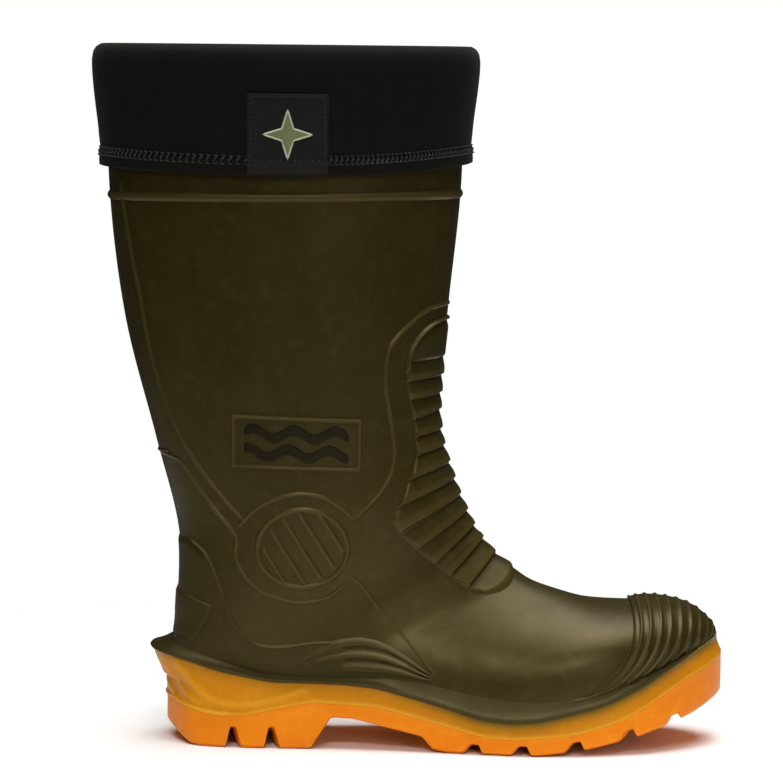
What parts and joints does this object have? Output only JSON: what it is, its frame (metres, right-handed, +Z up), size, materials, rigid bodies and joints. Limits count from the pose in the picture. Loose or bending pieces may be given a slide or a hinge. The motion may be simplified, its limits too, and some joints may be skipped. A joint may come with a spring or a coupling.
{
  "type": "deck boot",
  "caption": "Tall waterproof deck boot with a moulded shell, lugged two-layer sole, steel toe cap and a pull-out thermal liner with a folded-down cuff.",
  "frame": {"origin": "on the ground under the centre of the boot's bounding box", "axes": "+Z up; +X towards the toe; the right boot's lateral side faces -Y, so +Y is medial"},
  "size_m": [0.349, 0.1222, 0.3813],
  "materials": {
    "shell_pvc": "satin moulded PVC, olive",
    "counter_pvc": "satin moulded PVC, dark olive",
    "badge_pvc": "satin moulded PVC with a black field",
    "midsole_amber": "satin amber nitrile PVC",
    "outsole_orange": "satin orange nitrile PVC",
    "lining_textile": "thin polyester knit",
    "board_fibre": "fibre board",
    "footbed_foam": "foam with a textile top",
    "plate_steel": "coated steel",
    "liner_fabric": "matt black foam-backed knit",
    "hem_thread": "black thread",
    "label_textile": "tightly woven charcoal label",
    "label_thread": "dark grey thread",
    "emblem_thread": "pale green embroidery"
  },
  "bodies": {
    "boot": {"upper_shell": "shell_pvc", "top_band": "shell_pvc", "shin_guard": "shell_pvc", "ankle_guard_outer": "shell_pvc", "ankle_guard_inner": "shell_pvc", "heel_counter": "counter_pvc", "heel_kick_plate": "counter_pvc", "toe_bumper": "shell_pvc", "side_badge": "badge_pvc", "textile_lining": "lining_textile", "insole_board": "board_fibre", "footbed": "footbed_foam", "steel_toe_cap": "plate_steel", "steel_midsole_plate": "plate_steel", "rand": "counter_pvc", "midsole": "midsole_amber", "outsole": "outsole_orange"},
    "liner": {"liner_leg": "liner_fabric", "liner_foot": "liner_fabric", "liner_cuff": "liner_fabric", "cuff_hem": "liner_fabric", "hem_stitching": "hem_thread", "cuff_label": "label_textile", "label_stitching": "label_thread", "label_emblem": "emblem_thread"}
  },
  "joints": [
    {"name": "liner_pull", "type": "slide", "parent": "boot", "child": "liner", "axis": [0, 0, 1], "range_m": [0, 0.37], "deforming": ["liner_foot"]}
  ]
}
